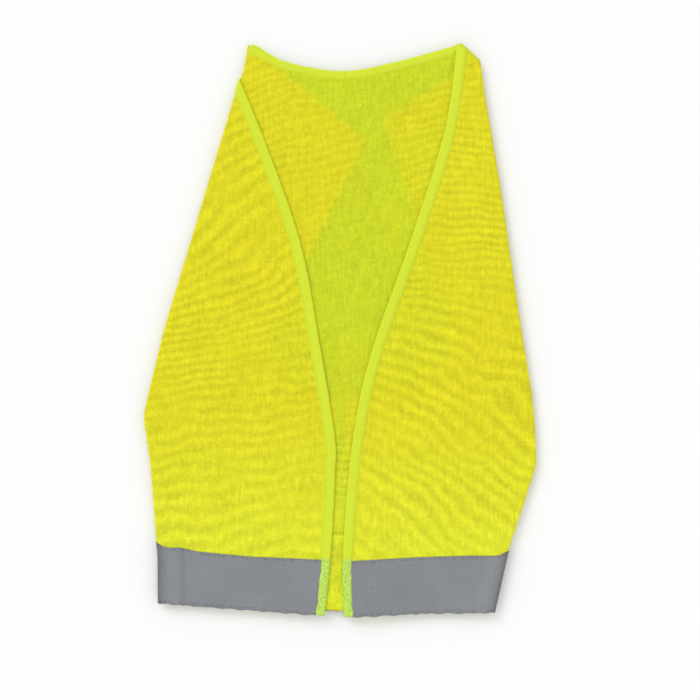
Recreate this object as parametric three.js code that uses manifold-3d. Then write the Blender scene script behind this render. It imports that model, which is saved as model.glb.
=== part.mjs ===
// High visibility vest, laid flat and face up, with both sides folded behind the back.
// Units are millimetres. +X is to the right of the folded vest, +Y towards the neck, +Z up from the floor.
import * as THREE from "three";
import { mergeVertices } from "three/addons/utils/BufferGeometryUtils.js";
import Module from "manifold-3d";

const wasm = await Module();
wasm.setup();

// Driving dimensions.
const CLOTH = 0.6; // knitted mesh, with its loft
const BAND = 0.4; // reflective band, thickness
const BAND_WIDTH = 50;
const EDGE_BINDING = 9.5; // width of the binding on the front edges and armholes
const NECK_BINDING = 7.5;
const BINDING_WRAP = 0.4; // how far one turn of a binding stands proud of the cloth that it holds
const SEAM = 2.5; // width of an overlocked seam
const GAP = 0.3; // between pieces that touch
const PLY = 0.3; // air between two plies of cloth
const OVERLAP = 5; // the halves of a ply overlap by this much past the middle of the vest
const OPEN_END = 8; // how far a hollow runs past the ends of a fold
const HEM_LEVEL = -270; // below every hem
const FAR = 600; // beyond the vest in any direction

// Levels of the undersides of the layers, from the floor up. The folded sides lie lowest.
const SIDE_FRONT_BAND_Z = 0;
const SIDE_FRONT_Z = SIDE_FRONT_BAND_Z + BAND + GAP;
const SIDE_BACK_Z = SIDE_FRONT_Z + CLOTH + PLY;
const SIDE_BACK_BAND_Z = SIDE_BACK_Z + CLOTH + GAP;
const BACK_BAND_Z = SIDE_BACK_BAND_Z + BAND + PLY;
const BACK_Z = BACK_BAND_Z + BAND + GAP;
const FRONT_Z = BACK_Z + CLOTH + PLY;
const FRONT_BAND_Z = FRONT_Z + CLOTH + GAP;
const TOP_Z = FRONT_BAND_Z + BAND;

// How far the plies of the back lie inside the outline where they go round a side fold.
const BACK_INSET = CLOTH + PLY;
const BACK_BAND_INSET = BACK_INSET + CLOTH + GAP;

// The back neck edge, from the left fold to the right neck point.
const NECK_EDGE = [
  [-83.3, 257],
  [-45, 240],
  [1.5, 232.8],
  [46, 240],
  [108.5, 257],
];

// The hem of the back, just inside the front hems.
const BACK_HEM = [
  [-163.4, -243.6],
  [8, -252.2],
  [140.4, -251.4],
];

// Each side of the vest. fold is the folded outline from the top to the hem. frontLine and sideLine are the straight
// lines that the front and the folded side turn about. frontEdge is the middle of the front edge binding, and armhole
// the cut edge from the shoulder tip to the underarm. foldTop and frontTop are where the upper edges of the back and
// of the front meet the fold. On the left the ends of the front and neck bindings are folded behind as well.
const SIDES = {
  left: {
    out: -1,
    foldTop: [-83.3, 257],
    fold: [
      [-83.3, 257],
      [-87, 236],
      [-93.2, 214],
      [-158, -1.4],
      [-171, -55],
      [-176, -77],
      [-169.7, -120],
      [-164.5, -190],
      [-163.4, -244.4],
    ],
    frontLine: [
      [-78.5, 257],
      [-154.5, -245],
    ],
    sideLine: [
      [-80, 257],
      [-156, -245],
    ],
    frontEdge: [
      [-97, 240],
      [-86, 211],
      [-42.3, 87],
      [-22, -15],
      [-8.5, -96],
      [-7.2, -147],
      [-18, -255.4],
    ],
    hem: [
      [-163.4, -244.4],
      [-18, -255.4],
    ],
    neckPoint: [-62, 241],
    frontTop: [-88.5, 207],
    sideHem: [
      [-163.4, -243.4],
      [-4, -251],
    ],
    tip: [23, 171.5],
    armhole: [
      [23, 171.5],
      [-6, 112],
      [-36, 50],
      [-58, 0],
      [-50, -40],
      [-4, -62.6],
    ],
    seamX: -4,
    endsFoldedBehind: true,
  },
  right: {
    out: 1,
    foldTop: [126.5, 241],
    fold: [
      [126.5, 241],
      [130, 214],
      [144.5, 128],
      [163.4, -1.4],
      [172.4, -55],
      [175.6, -90],
      [176, -118],
      [172.5, -134],
      [152.6, -196],
      [140.4, -252.8],
    ],
    frontLine: [
      [117.5, 257],
      [133.5, -252.5],
    ],
    sideLine: [
      [122.4, 257],
      [135, -252.5],
    ],
    frontEdge: [
      [111, 257],
      [99, 178.7],
      [69.3, 82.4],
      [31.5, -26.6],
      [15, -110],
      [7.6, -205.7],
      [8.8, -257],
    ],
    hem: [
      [8.8, -257],
      [140.4, -252.8],
    ],
    neckPoint: [108.5, 257],
    frontTop: [126.5, 241],
    sideHem: [
      [140.4, -251.5],
      [5, -252],
    ],
    tip: [39, 191],
    armhole: [
      [39, 191],
      [58, 132],
      [77, 75],
      [97, 10],
      [86, -38],
      [5, -62.6],
    ],
    seamX: 5,
    endsFoldedBehind: false,
  },
};

// Finishes.
const knit = new THREE.MeshStandardMaterial({ color: 0xdce02e, roughness: 0.85 });
const bindingTape = new THREE.MeshStandardMaterial({ color: 0xd8e43c, roughness: 0.8 });
const thread = new THREE.MeshStandardMaterial({ color: 0xd2dc38, roughness: 0.9 });
const reflective = new THREE.MeshStandardMaterial({ color: 0x868a8d, roughness: 0.45, metalness: 0.2 });

// A smooth line through the points, as that many steps.
function smooth(points, steps) {
  const curve = new THREE.SplineCurve(points.map(([x, y]) => new THREE.Vector2(x, y)));
  return curve.getPoints(steps).map((p) => [p.x, p.y]);
}

// The line moved sideways, to the right of its direction where distance is positive.
function offset(line, distance) {
  return line.map(([x, y], i) => {
    const before = line[Math.max(i - 1, 0)];
    const after = line[Math.min(i + 1, line.length - 1)];
    const along = new THREE.Vector2(after[0] - before[0], after[1] - before[1]).normalize();
    return [x + along.y * distance, y - along.x * distance];
  });
}

// Carries a line on past each end by the distance.
function carryOn(line, distance) {
  const past = ([x0, y0], [x1, y1]) => {
    const s = 1 + distance / Math.hypot(x1 - x0, y1 - y0);
    return [x0 + (x1 - x0) * s, y0 + (y1 - y0) * s];
  };
  return [past(line[1], line[0]), ...line, past(line.at(-2), line.at(-1))];
}

// An upright prism over a closed outline, as a solid. It is endless where no heights are given.
function prism(outline, low = -FAR, high = FAR) {
  const shape = new THREE.Shape(outline.map(([x, y]) => new THREE.Vector2(x, y)));
  const geometry = new THREE.ExtrudeGeometry(shape, { depth: high - low, bevelEnabled: false });
  geometry.translate(0, 0, low);
  geometry.deleteAttribute("normal");
  geometry.deleteAttribute("uv");
  const merged = mergeVertices(geometry, 1e-4);
  return new wasm.Manifold(
    new wasm.Mesh({
      numProp: 3,
      vertProperties: merged.attributes.position.array,
      triVerts: new Uint32Array(merged.index.array),
    }),
  );
}

function toGeometry(solid) {
  const made = solid.getMesh();
  const geometry = new THREE.BufferGeometry();
  geometry.setAttribute("position", new THREE.BufferAttribute(made.vertProperties, made.numProp));
  geometry.setIndex(new THREE.BufferAttribute(made.triVerts, 1));
  const faceted = geometry.toNonIndexed();
  faceted.computeVertexNormals();
  return faceted;
}

// A flat ribbon beside a line, between two distances from it.
function ribbon(line, from, to, low, high) {
  return prism([...offset(line, from), ...offset(line, to).reverse()], low, high);
}

// Everything to one side of a straight line: towards is -1 for the vest's left and 1 for its right.
function halfSpace(line, towards, clearance = GAP / 2) {
  const edge = carryOn(line, FAR).map(([x, y]) => [x + towards * clearance, y]);
  const outer = edge.map(([, y]) => [towards * FAR * 2, y]);
  return prism([...edge, ...outer.reverse()]);
}

const outboard = (side, line) => halfSpace(line, side.out);
const inboard = (side, line) => halfSpace(line, -side.out);

// Everything above a lower edge or below an upper one. Either edge runs from left to right.
const above = (edge) => prism([...carryOn(edge, FAR), [FAR, FAR], [-FAR, FAR]]);
const below = (edge) => prism([...carryOn(edge, FAR), [FAR, -FAR], [-FAR, -FAR]]);
const belowLevel = (y) => below([[-1, y], [1, y]]);
const aboveLevel = (y) => above([[-1, y], [1, y]]);

// A sideways distance from a line that runs from the neck to the hem, positive towards the middle of the vest.
const inwards = (side, distance) => side.out * distance;

// The area inside one side's fold, moved in by the inset, from the neck to below the hem. open carries it past both.
function foldArea(side, inset, open = 0) {
  const line = offset(side.fold, inwards(side, inset));
  const middle = -side.out * OVERLAP;
  const top = side.neckPoint[1] > line[0][1] ? side.neckPoint : line[0];
  const base = HEM_LEVEL - open;
  const area = [[middle, top[1] + open], [top[0], top[1] + open]];
  if (open) area.push([line[0][0], line[0][1] + open]);
  area.push(...line, [line.at(-1)[0], base], [middle, base]);
  return area;
}

// A flat ply across the whole back.
function backPly(inset, low, thickness) {
  const half = (side) => prism(foldArea(side, inset), low, low + thickness);
  return half(SIDES.left).add(half(SIDES.right));
}

// A ply that goes round the side fold: a channel, open towards the middle of the vest. It holds what lies outboard of
// the side line, and its upper ply runs on to the upper line.
function turnedPly(side, inset, thickness, low, high, upperLine = side.sideLine) {
  const outer = foldArea(side, inset);
  const hollow = prism(foldArea(side, inset + thickness, OPEN_END), low + thickness, high - thickness);
  const channel = prism(outer, low, high).subtract(hollow).intersect(outboard(side, side.sideLine));
  const upper = prism(outer, high - thickness, high).intersect(outboard(side, upperLine));
  return channel.add(upper);
}

// The strip along a hem that a reflective band covers.
function bandStrip(hem) {
  const line = carryOn(hem, BAND_WIDTH);
  return prism([...line, ...line.map(([x, y]) => [x, y + BAND_WIDTH]).reverse()]);
}

const vest = new THREE.Group();

function piece(name, solid, material) {
  const made = new THREE.Mesh(toGeometry(solid), material);
  made.name = name;
  vest.add(made);
}

// The bit of the right shoulder seam between the neck and the side fold. grow is the clearance round it.
function seamAtNeck(grow) {
  const { neckPoint, foldTop, frontLine } = SIDES.right;
  const line = carryOn([neckPoint, foldTop], grow);
  return ribbon(line, -grow, SEAM + grow, BACK_Z - grow, FRONT_Z + CLOTH + grow).intersect(
    halfSpace(frontLine, 1, GAP / 2 - grow),
  );
}

// The back, with the part of its cloth and of its band that goes round each side fold.
function makeBack() {
  const neck = smooth(NECK_EDGE, 24);
  const top = BACK_Z + CLOTH;
  const bandTop = BACK_BAND_Z + BAND;
  let panel = backPly(BACK_INSET, BACK_Z, CLOTH);
  let band = backPly(BACK_BAND_INSET, BACK_BAND_Z, BAND);
  for (const side of Object.values(SIDES)) {
    panel = panel.add(turnedPly(side, BACK_INSET, CLOTH, SIDE_BACK_Z, top));
    band = band.add(turnedPly(side, BACK_BAND_INSET, BAND, SIDE_BACK_BAND_Z, bandTop));
  }
  panel = panel
    .intersect(above(BACK_HEM))
    .intersect(below(offset(neck, NECK_BINDING + GAP)))
    .subtract(seamAtNeck(GAP));
  piece("back_panel", panel, knit);
  piece("back_band", band.intersect(bandStrip(BACK_HEM)), reflective);
  const binding = ribbon(neck, 0, NECK_BINDING, BACK_Z - BINDING_WRAP, top);
  piece("neck_binding", binding, bindingTape);
  piece("right_shoulder_seam_at_neck", seamAtNeck(0), thread);
}

// A front: its cloth, edge binding and band, and then its cloth and band where they go round the side fold.
function makeFront(name, side) {
  const half = EDGE_BINDING / 2;
  const clothTop = FRONT_Z + CLOTH;
  const edge = smooth(side.frontEdge, 28);
  const far = side.out * FAR;
  const clothEdge = carryOn(offset(edge, inwards(side, -half - GAP)), BAND_WIDTH);
  const besideBinding = prism([...clothEdge, [far, -FAR], [far, FAR]]);
  const moving = inboard(side, side.frontLine);
  const aboveHem = above(side.hem);

  const panel = prism(foldArea(side, 0), FRONT_Z, clothTop)
    .intersect(besideBinding)
    .intersect(moving)
    .intersect(aboveHem);
  piece(`${name}_front_panel`, panel, knit);
  const binding = ribbon(edge, -half, half, FRONT_Z, clothTop + 2 * BINDING_WRAP);
  piece(`${name}_front_binding`, binding.intersect(moving), bindingTape);
  const band = prism(foldArea(side, 0, OPEN_END), FRONT_BAND_Z, TOP_Z)
    .intersect(bandStrip(side.hem))
    .intersect(besideBinding)
    .intersect(moving);
  piece(`${name}_front_band`, band, reflective);

  let turned = turnedPly(side, 0, CLOTH, SIDE_FRONT_Z, clothTop, side.frontLine)
    .intersect(aboveHem)
    .subtract(seamAtNeck(GAP));
  if (side.endsFoldedBehind) turned = turned.intersect(belowLevel(side.frontTop[1]));
  piece(`${name}_front_fold`, turned, knit);
  const turnedBand = turnedPly(side, -BAND - GAP, BAND, SIDE_FRONT_BAND_Z, TOP_Z, side.frontLine);
  piece(`${name}_front_band_fold`, turnedBand.intersect(bandStrip(side.hem)), reflective);
}

// A side that is folded behind: two plies, one of the front and one of the back, with what is sewn to them.
function makeSide(name, side) {
  const armhole = smooth(side.armhole, 30);
  const underarm = side.armhole.at(-1);
  const shoulder = [side.endsFoldedBehind ? side.neckPoint : side.foldTop, side.tip];
  const far = side.out * FAR;
  const moving = inboard(side, side.sideLine);
  const hem = side.out < 0 ? side.sideHem : [...side.sideHem].reverse();
  const pliesTop = SIDE_BACK_Z + CLOTH;

  // The room that each trim takes, with a clearance round it.
  const armholeRoom = (grow, low, high) =>
    ribbon(
      grow ? carryOn(armhole, grow) : armhole,
      inwards(side, grow),
      inwards(side, -EDGE_BINDING - grow),
      low,
      high,
    );
  const shoulderRoom = (grow, low, high) =>
    ribbon(carryOn(shoulder, grow), inwards(side, -grow), inwards(side, SEAM + grow), low, high);
  const seamRoom = (grow, low, high) => {
    const inner = side.seamX - side.out * grow;
    const outer = side.seamX + side.out * (SEAM + grow);
    const top = underarm[1] - EDGE_BINDING - SEAM + grow;
    return prism([[inner, top], [outer, top], [outer, -FAR], [inner, -FAR]], low, high);
  };
  const endRoom = (line, width, grow, low, high) =>
    ribbon(carryOn(line, grow), -grow, width + grow, low, high).intersect(moving);

  const ply = (low, thickness, top) => {
    const seam = [[side.seamX, underarm[1]], [side.seamX, -FAR]];
    const outline = [top, shoulder[0], side.tip, ...armhole, ...seam, [far, -FAR], [far, top[1]]];
    return prism(outline, low, low + thickness).intersect(moving).intersect(above(hem));
  };
  const trimmed = (solid) =>
    solid.subtract(armholeRoom(GAP)).subtract(shoulderRoom(GAP)).subtract(seamRoom(GAP));
  let frontPly = trimmed(ply(SIDE_FRONT_Z, CLOTH, side.frontTop));
  let backPly = trimmed(ply(SIDE_BACK_Z, CLOTH, side.foldTop));

  if (side.endsFoldedBehind) {
    const frontEnd = [side.frontTop, side.neckPoint];
    const neckEnd = [side.foldTop, side.neckPoint];
    frontPly = frontPly.subtract(endRoom(frontEnd, EDGE_BINDING, GAP));
    backPly = backPly.subtract(endRoom(neckEnd, NECK_BINDING, GAP));
    const ends = [
      ["front_binding_end", frontEnd, EDGE_BINDING, SIDE_FRONT_Z - BINDING_WRAP],
      ["neck_binding_end", neckEnd, NECK_BINDING, SIDE_BACK_Z],
    ];
    for (const [end, line, width, low] of ends) {
      const high = low + CLOTH + BINDING_WRAP;
      const solid = endRoom(line, width, 0, low, high).subtract(shoulderRoom(GAP));
      piece(`${name}_${end}`, solid, bindingTape);
    }
  }
  piece(`${name}_side_front_ply`, frontPly, knit);
  piece(`${name}_side_back_ply`, backPly, knit);

  // The armhole binding is a loop: a strand on each ply, joined at the shoulder tip and the underarm.
  const strandTop = SIDE_FRONT_Z + CLOTH + GAP / 2;
  const slot = prism([[-FAR, -FAR], [FAR, -FAR], [FAR, FAR], [-FAR, FAR]], strandTop, strandTop + GAP)
    .intersect(belowLevel(side.tip[1] - EDGE_BINDING / 2))
    .intersect(aboveLevel(underarm[1] + EDGE_BINDING / 4));
  piece(`${name}_armhole_binding`, armholeRoom(0, 0, pliesTop + PLY).subtract(slot), bindingTape);

  const shoulderSeam = shoulderRoom(0, SIDE_FRONT_Z, pliesTop).subtract(armholeRoom(GAP));
  piece(`${name}_shoulder_seam`, shoulderSeam.intersect(moving), thread);
  const sideSeam = seamRoom(0, SIDE_FRONT_Z, pliesTop).subtract(armholeRoom(GAP));
  piece(`${name}_side_seam`, sideSeam.intersect(above(hem)), thread);

  const strip = bandStrip(side.sideHem);
  const band = (low) => ply(low, BAND, side.frontTop).intersect(strip);
  piece(`${name}_side_front_band`, band(SIDE_FRONT_BAND_Z), reflective);
  piece(`${name}_side_back_band`, band(SIDE_BACK_BAND_Z), reflective);
}

makeBack();
for (const [name, side] of Object.entries(SIDES)) {
  makeFront(name, side);
  makeSide(name, side);
}

// The origin is the middle of the folded vest, on the floor.
const box = new THREE.Box3().setFromObject(vest);
const middle = box.getCenter(new THREE.Vector3());
for (const made of vest.children) made.geometry.translate(-middle.x, -middle.y, -box.min.z);

export default vest;
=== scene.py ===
"""A high visibility vest of knitted mesh, laid flat and face up with both sides folded behind its back."""

import math

import bpy
import bmesh
import numpy as np
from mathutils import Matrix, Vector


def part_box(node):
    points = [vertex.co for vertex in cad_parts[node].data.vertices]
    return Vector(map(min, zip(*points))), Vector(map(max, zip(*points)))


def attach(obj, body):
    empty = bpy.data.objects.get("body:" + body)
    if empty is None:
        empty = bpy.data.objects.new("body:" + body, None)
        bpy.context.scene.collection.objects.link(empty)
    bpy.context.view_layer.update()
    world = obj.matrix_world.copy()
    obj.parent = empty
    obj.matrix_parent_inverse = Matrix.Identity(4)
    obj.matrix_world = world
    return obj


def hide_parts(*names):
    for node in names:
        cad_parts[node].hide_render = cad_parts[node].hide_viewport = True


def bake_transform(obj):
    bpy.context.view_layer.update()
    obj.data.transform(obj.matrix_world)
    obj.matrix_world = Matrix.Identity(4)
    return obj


bl_info = {
    "name": "High Visibility Vest",
    "version": (1, 0, 0),
    "blender": (4, 5, 0),
    "location": "View3D > Sidebar > Vest",
    "description": "Makes a folded vest: knitted cloth, bindings, reflective bands and stitching",
    "category": "Mesh",
}

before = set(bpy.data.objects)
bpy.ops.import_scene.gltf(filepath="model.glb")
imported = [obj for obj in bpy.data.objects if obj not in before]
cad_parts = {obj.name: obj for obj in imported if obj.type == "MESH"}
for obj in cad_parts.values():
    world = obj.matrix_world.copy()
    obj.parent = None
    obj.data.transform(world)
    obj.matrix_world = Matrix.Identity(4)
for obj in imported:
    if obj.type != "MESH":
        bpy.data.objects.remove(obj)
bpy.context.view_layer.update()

MM = 0.001  # outlines below are in millimetres, and Blender's units are metres
GRID = 2.5  # spacing of the cloth's grid
FOLD_CELLS = 8  # cells round a side fold
BEND_CELLS = 14  # and across the bend of a front
FRONT_BEND = 12.0  # a front bends over this width when it opens
SIDE_BEND = 5.0  # and a folded side over this one
CLOTH = 0.42  # thickness of the knitted cloth
TAPE = 0.3  # and of the reflective tape
KNIT_ROW = 1.3  # height of a row of the mesh's holes over its width
FLAT = 1e6  # the pitch, in metres, of a wave that doesn't change along an axis
BAND_WIDTH = 50.0
BAND_LEVEL = -225.0  # a level inside the tape, where its place round the side folds is taken
BAND_TOP = -204.5  # a binding lies over the tape below this level
HEM_WIDTH = 19.0  # the back's lower edge, turned up on the inside
HEM_CLOTH = 0.24
HEM_LIFT = 0.36
HEM_LEVEL = -240.0  # a level inside the turned hem, for the same
CREASE = -185.5  # level of the crease across the back, between the fronts
FLOOR = -0.0039  # just clear of the folded sides when they are opened out


def level(node, share=0.5):
    """The height at that share of a CAD node's thickness, in millimetres."""
    low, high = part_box(node)
    return (low.z + (high.z - low.z) * share) / MM


# ---------------------------------------------------------------- outlines


def spline(points, steps):
    """A smooth line through the points, as that many steps."""
    p = np.array(points, float)
    last = len(p) - 1
    t = np.linspace(0, last, steps + 1)
    i = np.minimum(t.astype(int), last - 1)
    f = (t - i)[:, None]
    before, start, end, after = p[np.maximum(i - 1, 0)], p[i], p[i + 1], p[np.minimum(i + 2, last)]
    v0, v1 = (end - before) / 2, (after - start) / 2
    cubic, square = 2 * start - 2 * end + v0 + v1, 3 * end - 3 * start - 2 * v0 - v1
    return cubic * f**3 + square * f**2 + v0 * f + start


def ease(x, low, high):
    """0 below low, 1 above high, and smooth between them."""
    t = np.clip((np.asarray(x, float) - low) / (high - low), 0, 1)
    return t * t * (3 - 2 * t)


def peak(x, middle, width):
    """A smooth peak, 1 high at its middle."""
    return np.exp(-(((x - middle) / width) ** 2))


def smoothed(values, spread):
    """The values averaged with their neighbours, as far as three times the spread each way."""
    reach = 3 * spread
    kernel = np.exp(-(np.arange(-reach, reach + 1) ** 2) / (2 * spread**2))
    return np.convolve(np.pad(values, reach, mode="edge"), kernel / kernel.sum(), mode="valid")


def along(line, y):
    """The first coordinate of a line at y. The line runs up or down without turning back."""
    line = np.array(line, float)
    line = line[np.argsort(line[:, 1])]
    return np.interp(y, line[:, 1], line[:, 0])


def straight(line, y):
    """The first coordinate of an endless straight line at y."""
    (x0, y0), (x1, y1) = line
    return x0 + (np.asarray(y, float) - y0) * (x1 - x0) / (y1 - y0)


class Ply:
    """A layer of cloth that lies flat above, turns under at the side fold, and lies flat below."""

    def __init__(self, top, bottom, inset):
        self.top, self.bottom, self.inset = top, bottom, inset
        self.radius = (top - bottom) / 2


FRONT = Ply(level("left_front_panel"), level("left_side_front_ply"), 0.0)
BACK = Ply(level("back_panel"), level("left_side_back_ply"), 0.0)
BACK.inset = FRONT.radius - BACK.radius


class Side:
    """One side of the vest. Distances outward from the middle of the vest are positive on both sides.

    fold is the folded outline and front_edge the middle of the front edge binding, both from the top down.
    front_line and side_line are the straight lines that the front and the folded side turn about.
    armhole is its cut edge from the shoulder tip to the underarm, and shoulder the seam from neck to tip.
    tape_rise says how far the tape's upper edge has crept up from its place, from the front edge outward.
    """

    def __init__(self, name, out, **lines):
        self.name, self.out = name, out
        self.__dict__.update(lines)
        y = np.arange(-300.0, 300.0, 1.0)
        self.fold_table = (y, smoothed(along(self.fold, y), 4))
        self.front_path = spline(self.front_edge, 160)
        self.armhole_path = spline(self.armhole, 90)

    def flat_end(self, y, ply):
        """How far out the ply lies flat before it turns."""
        return np.interp(y, *self.fold_table) - ply.inset - ply.radius

    def fold_end(self, y, ply):
        """The distance along the ply at which its turn is done."""
        return self.flat_end(y, ply) + math.pi * ply.radius

    def under(self, x, y, ply):
        """The distance along the ply to a point of its lower part, x outward from the middle."""
        s = self.flat_end(y, ply)
        return 2 * s + math.pi * ply.radius - x

    def lower_x(self, u, y, ply):
        """The outward place of a point of the lower part, at a distance u along the ply."""
        return 2 * self.flat_end(y, ply) + math.pi * ply.radius - u

    def side_end(self, y, ply):
        """The distance along the ply to the side's hinge line, on the lower part."""
        return self.under(straight(self.side_line, y), y, ply)

    def place(self, u, y, ply, lift=0.0):
        """Points at distances u along a ply from the middle, lifted off its outer face, in millimetres."""
        u, y = np.broadcast_arrays(np.asarray(u, float), np.asarray(y, float))
        s, r = self.flat_end(y, ply), ply.radius
        turn = np.clip((u - s) / r, 0, math.pi)
        below = np.maximum(u - s - math.pi * r, 0)
        x = np.minimum(u, s) + (r + lift) * np.sin(turn) - below
        z = (ply.top + ply.bottom) / 2 + (r + lift) * np.cos(turn)
        return settle(np.stack([self.out * x, y, z], -1), ply)


def in_gap(x, left):
    """1 where the back shows between the lower ends of the fronts, from left on."""
    return ease(x, left, left + 5) * (1 - ease(x, 9, 14))


def gathered(y):
    """1 along the stretch of that gap where the back is gathered in ridges."""
    return ease(y, -158, -148) * (1 - ease(y, -104, -94))


def ridge(x, y):
    """The gathered ridges, from -1 to 1."""
    return np.sin(y / 1.15 + 0.8 * np.sin(x / 4))


def settle(points, ply):
    """Lays the cloth in gentle waves and creases. Heights are scaled, so that the layers keep their order."""
    x, y, z = points[..., 0], points[..., 1], points[..., 2]
    wave = (
        0.34 * np.sin(x / 31 + y / 47 + 0.6)
        + 0.28 * np.sin(x / -23 + y / 38 + 2.1)
        + 0.20 * np.sin(x / 17 + y / 61 + 4.0)
        + 0.14 * np.sin(x / 12.5 - y / 16 + 1.2)
        + 0.08 * np.sin(x / 7.1 + y / 9.3)
        + 0.05 * np.sin(x / 2.9 + y / 2.1 + 2 * np.sin(y / 19))
        + 0.05 * np.sin(y / 1.9 - x / 6.5 + np.sin(x / 11))
        - 0.9
    )
    if ply is BACK:
        gap = in_gap(x, -9) * (z > (BACK.top + BACK.bottom) / 2)
        crease = 0.5 * peak(y, CREASE, 1.2) - 1.1 * peak(y, CREASE + 3.0, 1.0)
        wave = wave + gap * (0.42 * gathered(y) * (ridge(x, y) - 1) + crease)
    return np.stack([x, y, z * (1 + wave / FRONT.top)], -1)


NECK_EDGE = [(-83.3, 257), (-64, 248.8), (-45, 240.4), (1.5, 232.8), (46, 240), (108.5, 257)]
BACK_HEM = [(-163.4, -243.6), (8, -252.2), (140.4, -251.4)]

LEFT = Side(
    "left",
    -1,
    fold=[
        (83.3, 262), (83.3, 256), (87, 236), (93.2, 214), (158, -1.4), (171, -55),
        (176, -77), (169.7, -120), (164.6, -186), (162.7, -200), (162.4, -244.4), (162.2, -262),
    ],
    front_line=[(78.5, 257), (154.5, -245)],
    side_line=[(80, 257), (156, -245)],
    front_edge=[
        (112, 241), (99.5, 225), (88, 209.5), (42.3, 87), (22, -15), (8.8, -96),
        (8.4, -124), (10.1, -164), (12.8, -204), (18, -255.4),
    ],
    armhole=[(-23, 171.5), (6, 112), (36, 50), (58, 0), (50, -40), (4, -62.6)],
    shoulder=[(62, 241), (-23, 171.5)],
    seam_x=4,
    hem=[(163.4, -244.4), (18, -255.4)],
    tape_rise=[(18, -0.3), (81, -2.2), (127, -1.2), (143, 1.0), (157, 0.2), (160, 1.6), (164, 3.8)],
    side_hem=[(163.4, -243.4), (4, -251)],
    shoulder_on_top=None,
)
RIGHT = Side(
    "right",
    1,
    fold=[
        (124, 262), (126.5, 241), (130, 214), (144.5, 128), (163.4, -1.4), (172.4, -55),
        (175.6, -90), (176.7, -120), (172.5, -134), (151.6, -197), (139, -252.8), (137.4, -262),
    ],
    front_line=[(117.5, 257), (133.5, -252.5)],
    side_line=[(122.4, 257), (135, -252.5)],
    front_edge=[
        (109.6, 252), (99, 178.7), (69.3, 82.4), (31.5, -26.6), (15, -110), (7.6, -205.7), (8.8, -257),
    ],
    armhole=[(39, 191), (58, 132), (77, 75), (97, 10), (86, -38), (5, -62.6)],
    shoulder=[(126.5, 241), (39, 191)],
    seam_x=5,
    hem=[(140.4, -252.8), (72, -253.9), (8.8, -257)],
    tape_rise=[(9, 0), (72, 0.4), (116, 1.1), (141, 0.6), (147, 2.0), (152, 3.6)],
    side_hem=[(140.4, -251.5), (5, -252)],
    shoulder_on_top=[(108.5, 257), (126.5, 241)],
)
SIDES = (LEFT, RIGHT)
NECK = spline(NECK_EDGE, 120)
NECK_BINDING_INSET = 3.6  # from the neck edge to the middle of its binding
LEFT_TOP = [(-87, 256)]  # the back's upper edge past the side folds
RIGHT_TOP = [(109.5, 254.6), (125.6, 240.4), (130, 238.6)]
RIGHT_FRONT_TOP = [(106, 255.4), (109.5, 254.6), (126.5, 240.4), (134, 238.6)]
BACK_TOP = np.concatenate([LEFT_TOP, NECK[NECK[:, 0] < 104] - (0, 1.2), RIGHT_TOP]).T


def line_y(line, x):
    """The height on the page of a straight or bent line at x."""
    line = np.array(line, float)
    line = line[np.argsort(line[:, 0])]
    return np.interp(x, line[:, 0], line[:, 1])


# ---------------------------------------------------------------- meshes


def new_piece(name, vertices, faces, material, uv=None, attributes=()):
    """A closed mesh with its doubles merged and its faces out. Vertices are in millimetres, uv in metres."""
    me = bpy.data.meshes.new(name)
    me.from_pydata((np.asarray(vertices) * MM).tolist(), [], faces)
    if uv is not None:
        layer = me.uv_layers.new(name="cloth")
        index = np.zeros(len(me.loops), np.int32)
        me.loops.foreach_get("vertex_index", index)
        layer.data.foreach_set("uv", (np.asarray(uv)[index] * MM).astype(np.float32).ravel())
    for key, values in attributes:
        me.attributes.new(key, "FLOAT", "POINT").data.foreach_set("value", np.asarray(values, np.float32))
    bm = bmesh.new()
    bm.from_mesh(me)
    bmesh.ops.remove_doubles(bm, verts=bm.verts, dist=2e-6)
    bmesh.ops.dissolve_degenerate(bm, edges=bm.edges, dist=1e-6)
    bmesh.ops.recalc_face_normals(bm, faces=bm.faces)
    bm.to_mesh(me)
    bm.free()
    me.shade_smooth()
    obj = bpy.data.objects.new(name, me)
    bpy.context.collection.objects.link(obj)
    me.materials.append(material)
    return obj


def shell(name, u, y, place, thickness, material, attributes=(), out=1):
    """A sheet of cloth over the grid of u and y, closed along its edges. out is -1 if u grows leftwards."""
    rows, cols = u.shape
    upper = place(u, y, thickness / 2).reshape(-1, 3)
    lower = place(u, y, -thickness / 2).reshape(-1, 3)
    n = rows * cols
    index = np.arange(n).reshape(rows, cols)
    quads = np.stack([index[:-1, :-1], index[:-1, 1:], index[1:, 1:], index[1:, :-1]], -1).reshape(-1, 4)
    ring = np.concatenate([index[0, :], index[1:, -1], index[-1, -2::-1], index[-2:0:-1, 0]])
    after = np.roll(ring, -1)
    walls = np.stack([after, ring, ring + n, after + n], -1)
    faces = np.concatenate([quads, quads[:, ::-1] + n, walls]).tolist()
    flat = np.stack([out * u.ravel(), y.ravel()], -1)
    doubled = [(key, np.tile(np.asarray(values).ravel(), 2)) for key, values in attributes]
    return new_piece(name, np.concatenate([upper, lower]), faces, material, np.tile(flat, (2, 1)), doubled)


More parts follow.
